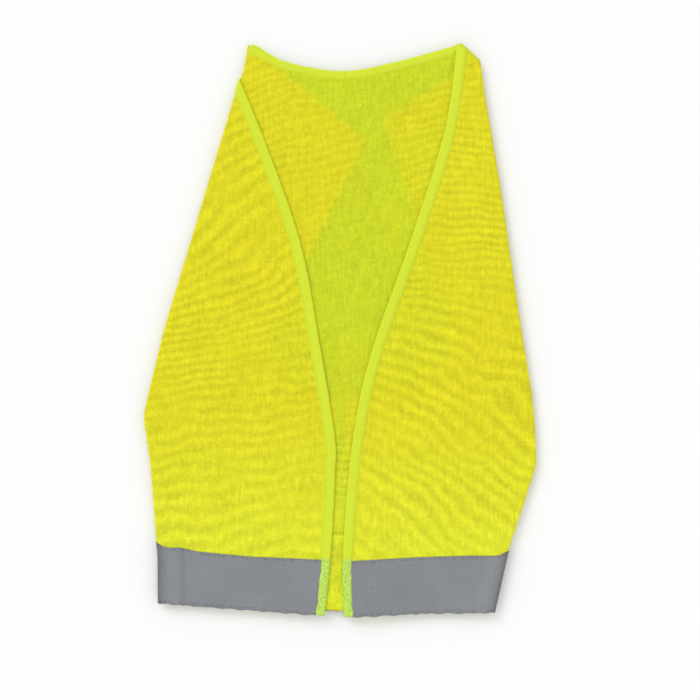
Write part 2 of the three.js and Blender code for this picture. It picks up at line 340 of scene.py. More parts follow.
def lay_out(breaks, rows, shape):
    """The u and y of a cloth's grid.

    breaks give, at each y, where its stretches begin and end, and their cells. rows are the levels of its
    rows, and shape moves them to follow the cloth's lower and upper edges.
    """
    functions, cells = zip(*breaks)
    rows = np.asarray(rows, float)[:, None]

    def edges_at(y):
        edges = np.stack([np.broadcast_to(f(y), y.shape) for f in functions])
        edges = np.maximum(edges, edges[0])
        return np.maximum.accumulate(np.minimum(edges, np.maximum(edges[-1], edges[0])), axis=0)

    first = edges_at(shape(np.zeros_like(rows), rows))
    widths = np.max(np.diff(first, axis=0), axis=(1, 2))
    counts = [c or max(2, int(np.ceil(w / GRID))) for c, w in zip(cells[1:], widths)]
    share = [np.linspace(0, 1, c, endpoint=False) + k for k, c in enumerate(counts)]
    share = np.concatenate([*share, [len(counts)]])
    k = np.minimum(share.astype(int), len(counts) - 1)
    f = share - k
    base = np.repeat(rows, len(share), 1)
    y = base
    for _ in range(5):
        edges = edges_at(y)
        u = np.take_along_axis(edges, np.broadcast_to(k, (1, *y.shape)), 0)[0] * (1 - f)
        u = u + np.take_along_axis(edges, np.broadcast_to(k + 1, (1, *y.shape)), 0)[0] * f
        y = shape(u, base)
    return u, y


def strip(name, path, profile, place, material, attributes=(), end_level=None):
    """A binding or a seam: a closed profile of (across, height) points swept along a path of (u, y) points.

    end_level gives the y of its last cut at each u, where that cut is slanted.
    """
    path = np.asarray(path, float)
    step = np.gradient(path, axis=0)
    step /= np.linalg.norm(step, axis=1)[:, None]
    across = np.stack([step[:, 1], -step[:, 0]], -1)
    profile = np.asarray(profile, float)
    n, m = len(path), len(profile)
    far = np.concatenate([[0], np.cumsum(np.linalg.norm(np.diff(path, axis=0), axis=1))])
    wander = 1 + 0.012 * np.sin(far / 3.1) + 0.014 * np.sin(far / 5.3 + 1)
    flat = path[:, None, :] + across[:, None, :] * (profile[None, :, 0] * wander[:, None])[..., None]
    if end_level:
        flat[..., 1] += ease(far, far[-1] - 9, far[-1])[:, None] * (end_level(flat[..., 0]) - path[-1, 1])
    puff = 1 + 0.05 * np.sin(far / 2.3) + 0.05 * np.sin(far / 4.7 + 2)
    lift = profile[None, :, 1] * puff[:, None]
    points = place(flat[..., 0], flat[..., 1], lift).reshape(-1, 3)
    index = np.arange(n * m).reshape(n, m)
    side = np.roll(index, -1, axis=1)
    quads = np.stack([index[:-1], side[:-1], side[1:], index[1:]], -1).reshape(-1, 4).tolist()
    faces = quads + [index[0, ::-1].tolist(), index[-1].tolist()]
    girth = np.concatenate([[0], np.cumsum(np.linalg.norm(np.diff(profile, axis=0), axis=1))])
    uv = np.stack(np.broadcast_arrays(girth[None, :], far[:, None]), -1).reshape(-1, 2)
    each = [(key, np.repeat(values(path[:, 0], path[:, 1]), m)) for key, values in attributes]
    return new_piece(name, points, faces, material, uv, each)


def resample(path, step):
    """The path with points at even distances of about step."""
    path = np.asarray(path, float)
    far = np.concatenate([[0], np.cumsum(np.linalg.norm(np.diff(path, axis=0), axis=1))])
    count = max(2, int(round(far[-1] / step)) + 1)
    at = np.linspace(0, far[-1], count)
    return np.stack([np.interp(at, far, path[:, i]) for i in range(path.shape[1])], -1)


def sideways(path, distance):
    """The path moved across itself, to the right of its direction."""
    path = np.asarray(path, float)
    step = np.gradient(path, axis=0)
    step /= np.linalg.norm(step, axis=1)[:, None]
    return path + np.stack([step[:, 1], -step[:, 0]], -1) * distance


# ---------------------------------------------------------------- riding on the frame


def hinge(side, line, width):
    """Where cloth starts and ends its bend beside a hinge line: two points in metres, across the line."""
    (x0, y0), (x1, y1) = line
    inwards = np.array([y1 - y0, -(x1 - x0)]) / math.hypot(x1 - x0, y1 - y0)
    inwards *= -np.sign(inwards[0])
    middle = np.array([(x0 + x1) / 2, (y0 + y1) / 2])
    return tuple((side.out * p[0] * MM, p[1] * MM, 0.0) for p in (middle, middle + inwards * width))


def follow(obj, nodes=(), side=None, part=None):
    """Joins a piece to the frame when it has no part: then it rides on the back. With a part, only its
    transform is applied to its mesh. Either way the CAD nodes that it stands for are hidden.
    """
    if part is None:
        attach(obj, "back")
    else:
        line, width = (side.front_line, FRONT_BEND) if part == "front" else (side.side_line, SIDE_BEND)
        start, end = hinge(side, line, width)
        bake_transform(obj)
    if nodes:
        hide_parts(*nodes)
    return obj


# ---------------------------------------------------------------- edges of the cloth


def front_edge(side, y, inset=0.0):
    """The middle of a front's edge binding at y, or a line that far outward from it."""
    return along(side.front_path, y) + inset


def hidden_edge(side, y):
    """The outward place of the cut edge of the folded side at y: shoulder seam, armhole, then side seam."""
    y = np.asarray(y, float)
    x = along(side.armhole_path, y)
    x = np.where(y < side.armhole[-1][1], side.seam_x, x)
    (x0, y0), (x1, y1) = side.shoulder
    return np.where(y > side.armhole[0][1], x0 + (y - y0) * (x1 - x0) / (y1 - y0), x)


def covered(side, x, y):
    """1 where the folded side lies behind a point of the vest, 0 where it doesn't, with a soft edge."""
    d = np.asarray(x, float) - hidden_edge(side, y)
    rough = 0.8 * np.sin(y / 3.1 + x / 7) + 0.6 * np.sin(y / 1.7 - x / 5)
    return ease(d + rough, -2.6, 2.6)


def hem_level(side, ply, u, y, top_line, flip=1):
    """The y of the hem at a distance u along a ply, on its upper or lower part."""
    turned = ease(u, side.flat_end(y, ply), side.fold_end(y, ply))
    lower = line_y(side.side_hem, side.lower_x(u, y, ply))
    return line_y(top_line, flip * u) * (1 - turned) + lower * turned


CLOTH_LOW = -250.0
FADE = 70.0


def cloth_rows(high):
    """Levels of a cloth's rows, from its hem to a level."""
    return np.linspace(CLOTH_LOW, high, int((high - CLOTH_LOW) / GRID) + 1)


def last_full_row(start, end, low, high):
    """The highest level at which end is still clearly past start."""
    y = np.linspace(low, high, 4000)
    return float(y[end(y) - start(y) > 1.0].max())


# ---------------------------------------------------------------- materials


class Nodes:
    """Adds and links shader nodes, in the order in which they are read."""

    def __init__(self, material):
        material.use_nodes = True
        self.tree = material.node_tree
        self.tree.nodes.clear()
        self.surface = self.add("ShaderNodeBsdfPrincipled")
        output = self.add("ShaderNodeOutputMaterial")
        self.link(self.surface.outputs[0], output.inputs[0])

    def add(self, kind, **settings):
        node = self.tree.nodes.new(kind)
        for key, value in settings.items():
            setattr(node, key, value)
        return node

    def link(self, out, into):
        self.tree.links.new(out, into)

    def put(self, value, socket):
        if isinstance(value, bpy.types.NodeSocket):
            self.link(value, socket)
        else:
            socket.default_value = value

    def math(self, operation, *values):
        node = self.add("ShaderNodeMath", operation=operation)
        for value, socket in zip(values, node.inputs):
            self.put(value, socket)
        return node.outputs[0]

    def spread(self, value, low, high, to_low=0.0, to_high=1.0, smooth=False):
        node = self.add("ShaderNodeMapRange", interpolation_type="SMOOTHSTEP" if smooth else "LINEAR")
        for number, socket in zip((value, low, high, to_low, to_high), node.inputs):
            self.put(number, socket)
        return node.outputs[0]

    def mix(self, share, a, b, blend="MIX"):
        node = self.add("ShaderNodeMix", data_type="RGBA", blend_type=blend)
        for value, socket in zip((share, a, b), (node.inputs[0], node.inputs[6], node.inputs[7])):
            self.put(value, socket)
        return node.outputs[2]

    def uv(self):
        split = self.add("ShaderNodeSeparateXYZ")
        self.link(self.add("ShaderNodeUVMap", uv_map="cloth").outputs[0], split.inputs[0])
        return split.outputs[0], split.outputs[1]

    def attribute(self, name):
        return self.add("ShaderNodeAttribute", attribute_name=name).outputs["Fac"]

    def noise(self, scale, detail=2.0, roughness=0.5, vector=None):
        node = self.add("ShaderNodeTexNoise")
        node.inputs["Scale"].default_value = scale
        node.inputs["Detail"].default_value = detail
        node.inputs["Roughness"].default_value = roughness
        self.link(vector or self.add("ShaderNodeTexCoord").outputs["Object"], node.inputs["Vector"])
        return node.outputs["Fac"]

    def streaks(self, x, y, scale_x, scale_y):
        """Noise drawn out along one of two directions."""
        place = self.add("ShaderNodeCombineXYZ")
        self.link(self.math("MULTIPLY", x, scale_x), place.inputs[0])
        self.link(self.math("MULTIPLY", y, scale_y), place.inputs[1])
        return self.noise(1.0, 2.0, 0.6, place.outputs[0])

    def dapple(self, shade, texture, low, high):
        """The shade, multiplied by low to high as the texture goes from its dark to its light parts."""
        return self.math("MULTIPLY", shade, self.spread(texture, 0.3, 0.7, low, high))

    def shaded(self, colour, shade):
        """The colour, multiplied by a shade."""
        grey = self.add("ShaderNodeCombineXYZ")
        for socket in grey.inputs:
            self.link(shade, socket)
        return self.mix(1.0, colour, grey.outputs[0], "MULTIPLY")

    def wave(self, x, y, pitch_x, pitch_y, phase=0.0):
        """cos of a phase that turns once in each pitch, with pitches in metres."""
        turns = self.math("ADD", self.math("MULTIPLY", x, 1 / pitch_x), self.math("MULTIPLY", y, 1 / pitch_y))
        turns = self.math("ADD", turns, phase)
        return self.math("COSINE", self.math("MULTIPLY", turns, math.tau))

    def bump(self, height, strength, distance):
        node = self.add("ShaderNodeBump")
        node.inputs["Strength"].default_value = strength
        node.inputs["Distance"].default_value = distance
        self.link(height, node.inputs["Height"])
        self.link(node.outputs[0], self.surface.inputs["Normal"])

    def finish(self, **values):
        for name, value in values.items():
            self.put(value, self.surface.inputs[name.replace("_", " ")])


def tint(colour, factor):
    """A colour made lighter or darker, as four numbers."""
    return (*[min(1.0, c * factor) for c in colour[:3]], 1.0)


def knitted_mesh(look):
    """Knitted polyester mesh, with rows of small holes and faint wavy bands, warmer where it is doubled."""
    material = bpy.data.materials.new("lime_mesh")
    n = Nodes(material)
    u, y = n.uv()
    doubled = n.attribute("doubled")
    colour = n.mix(doubled, tint(look.cloth_single, 1), tint(look.cloth_doubled, 1))

    sway = n.math("MULTIPLY", n.math("SUBTRACT", n.noise(11.0, 1.0), 0.5), 2.4)
    swing = n.math("MULTIPLY", n.math("SUBTRACT", n.noise(34.0, 2.0, 0.6), 0.5), 1.3)
    turns = n.math("ADD", n.math("ADD", sway, swing), n.attribute("turns"))
    bands = n.math("COSINE", n.math("MULTIPLY", turns, math.tau))
    ragged = n.math("MULTIPLY", n.math("SUBTRACT", n.noise(420.0, 1.0), 0.5), 2.4)
    faint = n.spread(n.noise(17.0, 1.0), 0.35, 0.65, 0.3, 1.0)
    bands = n.math("MULTIPLY", n.math("ADD", bands, ragged), faint)
    strength = n.math("MULTIPLY", n.attribute("banding"), look.band_contrast)
    shade = n.math("ADD", 1.0, n.math("MULTIPLY", bands, strength))

    pitch = look.knit_pitch
    row = pitch * KNIT_ROW
    holes = n.math("MULTIPLY", n.wave(u, y, pitch, FLAT), n.wave(u, y, FLAT, row))
    holes = n.spread(holes, 0.1, 0.9, smooth=True)
    ribs = n.wave(u, y, pitch / 2, FLAT, n.math("MULTIPLY", n.wave(u, y, FLAT, row), 0.18))
    yarn = n.noise(2600.0, 2.0, 0.6)
    shade = n.math("MULTIPLY", shade, n.spread(holes, 0, 1, 1.03, 1.0 - look.hole_depth))
    shade = n.dapple(shade, yarn, 0.97, 1.03)
    shade = n.dapple(shade, n.streaks(u, y, 430.0, 62.0), 0.925, 1.075)
    shade = n.dapple(shade, n.noise(310.0, 2.0, 0.7), 0.93, 1.07)
    shade = n.dapple(shade, n.noise(130.0, 1.0), 0.965, 1.035)
    shade = n.dapple(shade, n.noise(30.0, 2.0), 0.98, 1.02)
    # Painted light and shade on the back between the fronts: lighter on its ridges and crease, darker in
    # their hollows.
    shade = n.math("MULTIPLY", shade, n.spread(n.attribute("painted_shading"), -1, 1, 0.86, 1.14))
    warm = n.mix(n.spread(n.noise(11.0, 1.0), 0.35, 0.7, 0.0, 0.16), colour, tint(look.cloth_warm, 1))
    lower = n.mix(n.spread(y, -0.06, -0.2, 0, 0.75), warm, tint(look.cloth_lower, 1))
    n.finish(Base_Color=n.shaded(lower, shade), Roughness=0.86)
    n.surface.inputs["Sheen Weight"].default_value = 0.04
    n.surface.inputs["Sheen Roughness"].default_value = 0.5
    n.surface.inputs["Sheen Tint"].default_value = (0.9, 0.9, 0.2, 1)
    n.surface.inputs["Specular IOR Level"].default_value = 0.1
    n.surface.inputs["Specular Tint"].default_value = (0.9, 0.9, 0.3, 1)
    height = n.math("SUBTRACT", n.math("MULTIPLY", ribs, 0.25), holes)
    n.bump(n.math("ADD", height, n.math("MULTIPLY", yarn, 0.6)), 0.5, 0.0003)
    return material


def edge_binding(look):
    """Knitted lime binding tape, its ribs across it. Over the reflective tape its open knit shows grey."""
    material = bpy.data.materials.new("lime_binding")
    n = Nodes(material)
    girth, far = n.uv()
    ribs = n.wave(girth, far, FLAT, 0.0016, n.math("MULTIPLY", n.wave(girth, far, 0.0021, FLAT), 0.12))
    wales = n.wave(girth, far, 0.0011, FLAT)
    yarn = n.noise(1800.0, 2.0, 0.6)
    colour = n.mix(n.attribute("over_band"), tint(look.binding, 1), tint(look.binding_over_band, 1))
    slanted = n.streaks(n.math("SUBTRACT", girth, far), n.math("ADD", girth, far), 620.0, 260.0)
    speck = n.spread(slanted, 0.49, 0.57, smooth=True)
    inner = n.spread(girth, 0.002, 0.006, 1.0, 0.35)
    speck = n.math("MULTIPLY", n.math("MULTIPLY", speck, inner), n.attribute("over_band"))
    pale = n.spread(n.noise(850.0, 1.0), 0.54, 0.62, 0.0, 0.75, smooth=True)
    colour = n.mix(n.math("MULTIPLY", pale, n.attribute("over_band")), colour, tint(look.binding_pale, 1))
    colour = n.mix(speck, colour, tint(look.tape, 0.5))
    shade = n.math("ADD", n.spread(ribs, -1, 1, 0.93, 1.03), n.spread(wales, -1, 1, -0.02, 0.02))
    shade = n.dapple(shade, yarn, 0.96, 1.03)
    n.finish(Base_Color=n.shaded(colour, shade), Roughness=0.8)
    n.surface.inputs["Sheen Weight"].default_value = 0.04
    n.surface.inputs["Sheen Tint"].default_value = (0.9, 0.95, 0.3, 1)
    n.surface.inputs["Specular IOR Level"].default_value = 0.12
    n.surface.inputs["Specular Tint"].default_value = (0.9, 0.95, 0.4, 1)
    height = n.math("ADD", n.math("MULTIPLY", ribs, 0.6), n.math("MULTIPLY", wales, 0.3))
    n.bump(n.math("ADD", height, n.math("MULTIPLY", yarn, 0.5)), 0.45, 0.0003)
    return material


def reflective_tape(look):
    """Silver tape with a surface of tiny glass beads over a fine woven backing."""
    material = bpy.data.materials.new("silver_tape")
    n = Nodes(material)
    u, y = n.uv()
    beads = n.noise(5200.0, 1.0, 0.7)
    patches = n.noise(26.0, 3.0, 0.55)
    shade = n.dapple(n.spread(beads, 0.3, 0.7, 0.93, 1.07), patches, 0.96, 1.05)
    shade = n.dapple(shade, n.streaks(u, y, 22.0, 900.0), 0.975, 1.02)
    # Darker along the tape's edges, with painted light and painted shade where the tape turns round a side
    # fold.
    shade = n.math("MULTIPLY", shade, n.spread(n.attribute("wear"), -3, 1, 0.56, 1.12))
    specks = n.spread(n.noise(420.0, 0.0), 0.76, 0.80)
    colour = n.mix(n.math("MULTIPLY", specks, 0.5), tint(look.tape, 1), tint(look.tape, 0.5))
    n.finish(Base_Color=n.shaded(colour, shade), Roughness=n.spread(patches, 0.3, 0.7, 0.36, 0.5))
    n.surface.inputs["Metallic"].default_value = 0.15
    n.surface.inputs["Specular IOR Level"].default_value = 0.45
    weave = n.math("MULTIPLY", n.wave(u, y, 0.0009, FLAT), n.wave(u, y, FLAT, 0.0009))
    n.bump(n.math("ADD", n.math("MULTIPLY", beads, 0.8), n.math("MULTIPLY", weave, 0.25)), 0.25, 0.00012)
    return material


def sewing_thread(name, colour):
    """Spun polyester thread, its plies twisted round it."""
    material = bpy.data.materials.new(name)
    n = Nodes(material)
    twist = n.noise(3000.0, 1.0, 0.6)
    n.finish(Base_Color=n.shaded(tint(colour, 1), n.spread(twist, 0.3, 0.7, 0.85, 1.1)), Roughness=0.6)
    n.surface.inputs["Sheen Weight"].default_value = 0.1
    n.bump(twist, 0.3, 0.0001)
    return material


def finish_named(name):
    """A finish, made from the sizes and colours in the panel the first time that it is needed."""
    known = bpy.data.materials.get(name)
    if known:
        return known
    look = bpy.context.scene.vest_look
    makers = {
        "lime_mesh": lambda: knitted_mesh(look),
        "lime_binding": lambda: edge_binding(look),
        "silver_tape": lambda: reflective_tape(look),
        "lime_thread": lambda: sewing_thread("lime_thread", look.thread),
        "grey_thread": lambda: sewing_thread("grey_thread", look.band_thread),
    }
    return makers[name]()


# ---------------------------------------------------------------- stitches


def stitch_tree():
    """Geometry Nodes: a row of short stitches along every path of a wire mesh."""
    known = bpy.data.node_groups.get("Stitches")
    if known:
        return known
    tree = bpy.data.node_groups.new("Stitches", "GeometryNodeTree")
    face = tree.interface
    face.new_socket("Paths", in_out="INPUT", socket_type="NodeSocketGeometry")
    for name, low in (("Pitch", 0.0005), ("Length", 0.0002), ("Radius", 0.00005)):
        socket = face.new_socket(name, in_out="INPUT", socket_type="NodeSocketFloat")
        socket.default_value = low
        socket.min_value = low
        socket.subtype = "DISTANCE"
    lean = face.new_socket("Lean", in_out="INPUT", socket_type="NodeSocketFloat")
    lean.subtype = "ANGLE"
    gaps = face.new_socket("Gaps", in_out="INPUT", socket_type="NodeSocketFloat")
    gaps.subtype = "FACTOR"
    seed = face.new_socket("Seed", in_out="INPUT", socket_type="NodeSocketInt")
    seed.default_value = 7
    face.new_socket("Thread", in_out="INPUT", socket_type="NodeSocketMaterial")
    face.new_socket("Stitches", in_out="OUTPUT", socket_type="NodeSocketGeometry")
    nodes, link = tree.nodes, tree.links.new
    given, result = nodes.new("NodeGroupInput"), nodes.new("NodeGroupOutput")

    curve = nodes.new("GeometryNodeMeshToCurve")
    even = nodes.new("GeometryNodeResampleCurve")
    even.mode = "LENGTH"
    link(given.outputs["Paths"], curve.inputs[0])
    link(curve.outputs[0], even.inputs["Curve"])
    link(given.outputs["Pitch"], even.inputs["Length"])

    aim = nodes.new("FunctionNodeAlignRotationToVector")
    aim.axis = "X"
    link(nodes.new("GeometryNodeInputTangent").outputs[0], aim.inputs["Vector"])
    turn = nodes.new("FunctionNodeRotateRotation")
    turn.rotation_space = "LOCAL"
    angles = nodes.new("FunctionNodeEulerToRotation")
    tilt = nodes.new("ShaderNodeCombineXYZ")
    jitter = nodes.new("FunctionNodeRandomValue")
    jitter.inputs[2].default_value = -0.16
    jitter.inputs[3].default_value = 0.16
    link(given.outputs["Seed"], jitter.inputs["Seed"])
    leaning = nodes.new("ShaderNodeMath")
    link(given.outputs["Lean"], leaning.inputs[0])
    link(jitter.outputs[1], leaning.inputs[1])
    link(leaning.outputs[0], tilt.inputs[2])
    link(tilt.outputs[0], angles.inputs[0])
    link(aim.outputs[0], turn.inputs[0])
    link(angles.outputs[0], turn.inputs[1])

    thread = nodes.new("GeometryNodeMeshUVSphere")
    thread.inputs["Segments"].default_value = 6
    thread.inputs["Rings"].default_value = 4
    thread.inputs["Radius"].default_value = 1.0
    half = nodes.new("ShaderNodeMath")
    half.operation = "MULTIPLY"
    half.inputs[1].default_value = 0.5
    link(given.outputs["Length"], half.inputs[0])
    vary = nodes.new("FunctionNodeRandomValue")
    vary.inputs[2].default_value = 0.8
    vary.inputs[3].default_value = 1.12
    link(given.outputs["Seed"], vary.inputs["Seed"])
    long = nodes.new("ShaderNodeMath")
    long.operation = "MULTIPLY"
    link(half.outputs[0], long.inputs[0])
    link(vary.outputs[1], long.inputs[1])
    size = nodes.new("ShaderNodeCombineXYZ")
    link(long.outputs[0], size.inputs[0])
    link(given.outputs["Radius"], size.inputs[1])
    link(given.outputs["Radius"], size.inputs[2])

    kept = nodes.new("FunctionNodeRandomValue")
    kept.data_type = "BOOLEAN"
    share = nodes.new("ShaderNodeMath")
    share.operation = "SUBTRACT"
    share.inputs[0].default_value = 1.0
    link(given.outputs["Gaps"], share.inputs[1])
    link(share.outputs[0], kept.inputs["Probability"])
    link(given.outputs["Seed"], kept.inputs["Seed"])

    place = nodes.new("GeometryNodeInstanceOnPoints")
    link(kept.outputs[3], place.inputs["Selection"])
    link(even.outputs[0], place.inputs["Points"])
    link(thread.outputs[0], place.inputs["Instance"])
    link(turn.outputs[0], place.inputs["Rotation"])
    link(size.outputs[0], place.inputs["Scale"])
    real = nodes.new("GeometryNodeRealizeInstances")
    paint = nodes.new("GeometryNodeSetMaterial")
    link(place.outputs[0], real.inputs[0])
    link(real.outputs[0], paint.inputs["Geometry"])
    link(given.outputs["Thread"], paint.inputs["Material"])
    link(paint.outputs[0], result.inputs[0])
    return tree


def stitches(name, paths, thread, pitch, length, radius, lean=0.0, gaps=0.0):
    """One mesh of stitches along several paths of points in millimetres. Sizes are in metres."""
    points, edges = [], []
    for path in paths:
        first = len(points)
        points += (np.asarray(path) * MM).tolist()
        edges += [(i, i + 1) for i in range(first, len(points) - 1)]
    wire = bpy.data.meshes.new(name + "_paths")
    wire.from_pydata(points, edges, [])
    source = bpy.data.objects.new(name + "_paths", wire)
    bpy.context.collection.objects.link(source)
    tree = stitch_tree()
    modifier = source.modifiers.new("Stitches", "NODES")
    modifier.node_group = tree
    sockets = {s.name: s.identifier for s in tree.interface.items_tree if s.in_out == "INPUT"}
    values = {"Pitch": pitch, "Length": length, "Radius": radius, "Lean": lean, "Gaps": gaps}
    values |= {"Seed": 7, "Thread": thread}
    for key, value in values.items():
        modifier[sockets[key]] = value
    source.update_tag()
    bpy.context.view_layer.update()
    made = bpy.data.meshes.new_from_object(source.evaluated_get(bpy.context.evaluated_depsgraph_get()))
    obj = bpy.data.objects.new(name, made)
    bpy.context.collection.objects.link(obj)
    source.modifiers.remove(modifier)
    bpy.data.objects.remove(source)
    bpy.data.meshes.remove(wire)
    made.shade_smooth()
    return obj


# ---------------------------------------------------------------- pieces


def fold_breaks(side, ply, start, end):
    """The stretches of a front that goes from start, over its bend and round the side fold, to end."""
    return [
        (start, None),
        (lambda y: np.maximum(straight(side.front_line, y) - FRONT_BEND, start(y)), None),
        (lambda y: np.maximum(straight(side.front_line, y), start(y)), BEND_CELLS),
        (lambda y: side.flat_end(y, ply), None),
        (lambda y: side.fold_end(y, ply), FOLD_CELLS),
        (end, None),
    ]


def wavy_turns(x, y):
    """How many turns the wavy bands of the knit have made at a point of a front."""
    left = 0.075 * y + 0.764 * np.sin(y * 0.01963 + 1.178) - x * (0.010 + 0.034 * ease(y, -80, 60))
    right = 0.098 * y - 4.01 * np.cos(y * 0.01047 + 0.419) + x * (0.010 + 0.037 * (1 - ease(y, -120, 50)))
    return np.where(x < 0, left, right)


def cloth(name, place, u, y, ply, doubled, out=1):
    """A piece of knitted cloth over a grid, coloured by how many layers lie there, with painted light and
    shade on the back's ridges and crease.
    """
    x = out * u
    if ply is BACK:
        banding, turns = 0.25 + 0.45 * doubled, 0.122 * y - 0.036 * x
    else:
        banding, turns = np.ones_like(u), wavy_turns(x, y)
    gap = in_gap(x, -10) if ply is BACK else 0 * x
    ridges = gathered(y) * ridge(x, y)
    crease = 1.4 * peak(y, CREASE, 1.3) - 2.6 * peak(y, CREASE + 3.3, 0.9)
    deep = ease(y, -210, -207) * (1 - ease(y, -197, -193))
    soft = peak(y, -222.5, 4.5)
    # Painted light along the tops of the gathered ridges and on the crease, painted shade in the hollows
    # beside them, and two darker bands across the gap lower down.
    painted_shading = gap * (0.6 * ridges + crease - 0.45 * deep - 0.55 * soft)
    attributes = (("doubled", doubled), ("banding", banding), ("turns", turns), ("painted_shading", painted_shading))
    return shell(name, u, y, place, CLOTH, finish_named("lime_mesh"), attributes, out)


def front_cloth(side):
    """A front, with its rim round the side fold as far as the folded side."""
    start, end = (lambda y: front_edge(side, y)), (lambda y: side.side_end(y, FRONT))
    if side.shoulder_on_top:
        high = side.fold[1][1]
    else:
        high = last_full_row(start, end, 190, side.shoulder[0][1])

    def shape(u, base):
        hem = hem_level(side, FRONT, u, base, side.hem)
        y = base + (hem - CLOTH_LOW) * (1 - ease(base, CLOTH_LOW, CLOTH_LOW + FADE))
        if side.shoulder_on_top:
            top = line_y(RIGHT_FRONT_TOP, u)
            y = y + (top - high) * ease(base, high - FADE, high)
        return y

    u, y = lay_out(fold_breaks(side, FRONT, start, end), cloth_rows(high), shape)
    doubled = 0.72 + 0.28 * covered(side, np.minimum(u, side.flat_end(y, FRONT)), y)
    place = lambda a, b, lift: side.place(a, b, FRONT, lift)
    obj = cloth(f"{side.name}_front_cloth", place, u, y, FRONT, doubled, side.out)
    nodes = (f"{side.name}_front_panel", f"{side.name}_front_fold")
    follow(obj, nodes, side, "front")
    return obj, u, y


def side_cloth(side, ply, label):
    """The folded part of a front or of the back, from the side's hinge line to its cut edges."""
    if ply is FRONT and not side.shoulder_on_top:
        start = lambda y: np.maximum(side.side_end(y, ply), front_edge(side, y))
    else:
        start = lambda y: side.side_end(y, ply)
    end = lambda y: side.under(hidden_edge(side, y), y, ply)
    top_of_shoulder = side.shoulder[0][1]
    high = last_full_row(start, end, side.armhole[0][1], top_of_shoulder)

    neck_x = side.shoulder[0][0]
    neck_point = float(side.under(neck_x, top_of_shoulder, ply))
    follows_neck = ply is BACK and not side.shoulder_on_top
    neck_end, neck_top = NECK_EDGE[0]

    def shape(u, base):
        hem = line_y(side.side_hem, side.lower_x(u, base, ply))
        y = base + (hem - CLOTH_LOW) * (1 - ease(base, CLOTH_LOW, CLOTH_LOW + FADE))
        if follows_neck:
            rise = np.interp(u, [-neck_end, neck_point], [neck_top - NECK_BINDING_INSET - high, 0])
            y = y + rise * ease(base, high - FADE / 2, high)
        return y

    u, y = lay_out([(start, None), (end, None)], cloth_rows(high), shape)
    place = lambda a, b, lift: side.place(a, b, ply, lift)
    obj = cloth(f"{side.name}_side_{label}_cloth", place, u, y, ply, np.full_like(u, 0.8), side.out)
    follow(obj, (f"{side.name}_side_{label}_ply",), side, "side")
    return obj, u, y


def place_back(u, y, lift):
    """Points of the back, where u is negative on the left half."""
    left, right = LEFT.place(-u, y, BACK, lift), RIGHT.place(u, y, BACK, lift)
    return np.where((u < 0)[..., None], left, right)


def back_top(u):
    """The upper edge of the back at u: neck, then on the right the shoulder, and over both side folds."""
    return np.interp(u, *BACK_TOP)


def back_hem(u, y):
    """The lower edge of the back at u, over both side folds."""
    left = hem_level(LEFT, BACK, -u, y, BACK_HEM, -1)
    right = hem_level(RIGHT, BACK, u, y, BACK_HEM)
    return np.where(u < 0, left, right)


def back_breaks():
    """The stretches of the back, from one side's hinge line to the other's."""
    return [
        (lambda y: -LEFT.side_end(y, BACK), None),
        (lambda y: -LEFT.fold_end(y, BACK), None),
        (lambda y: -LEFT.flat_end(y, BACK), FOLD_CELLS),
        (lambda y: RIGHT.flat_end(y, BACK), None),
        (lambda y: RIGHT.fold_end(y, BACK), FOLD_CELLS),
        (lambda y: RIGHT.side_end(y, BACK), None),
    ]


def back_cloth():
    """The back, between the two folded sides."""
    high = 240.0

    def shape(u, base):
        y = base + (back_hem(u, base) - CLOTH_LOW) * (1 - ease(base, CLOTH_LOW, CLOTH_LOW + FADE))
        return y + (back_top(u) - high) * ease(base, high - FADE, high)

    u, y = lay_out(back_breaks(), cloth_rows(high), shape)
    doubled = np.maximum(covered(LEFT, -u, y), 0.8 * covered(RIGHT, u, y))
    obj = cloth("back_cloth", place_back, u, y, BACK, doubled)
    follow(obj, ("back_panel",))
    return obj, u, y


def band(name, ply, place, breaks, hem, lift, slot_nodes, side=None, part=None):
    """A strip of reflective tape along the hem. breaks give the ends of its stretches at each y."""
    fringe = np.array([0, 0.8, 1.6])
    rows = np.concatenate([fringe, np.linspace(4, BAND_WIDTH - 4, 17), BAND_WIDTH - fringe[::-1]])
    on_top = side is not None and part == "front"

    def shape(u, base):
        frayed = 0.28 * np.sin(u / 1.9 + 2 * np.sin(u / 11)) + 0.22 * np.sin(u / 3.1 + 1)
        y = hem(u, base * 0 + BAND_LEVEL) + base + (frayed - 0.55) * (1 - ease(base, 0, 4))
        if on_top:
            y = y + np.interp(u, *np.array(side.tape_rise).T) * base / BAND_WIDTH
        return y

    u, y = lay_out(breaks, rows, shape)
    from_edge = np.minimum(rows, BAND_WIDTH - rows)[:, None]
    # The tape is painted darker along both of its edges.
    wear = -1.5 * (1 - ease(from_edge, 0.4, 2.0)) * (0.75 + 0.25 * np.sin(u / 2.7 + 2 * np.sin(u / 9)))
    if side is not None:
        # Near the side fold: a lighter stretch from 15 mm before the fold, painted as light, then painted
        # shade from 8 mm before the fold and darker still where the tape turns under, and on the left side a
        # thin darker line 20 mm before the fold.
        fold = side.flat_end(y, ply)
        wear += 0.3 * ease(u, fold - 18, fold - 15) - 1.1 * ease(u, fold - 8, fold - 1)
        wear -= 2.2 * ease(u, fold - 2, fold + 2.6)
        wear -= 0.8 * peak(u, fold - 20.0, 2.4) * (side is LEFT)
    raise_by = lambda a, b, t: place(a, b, lift + t)
    obj = shell(name, u, y, raise_by, TAPE, finish_named("silver_tape"), (("wear", wear),))
    return follow(obj, slot_nodes, side if part else None, part)


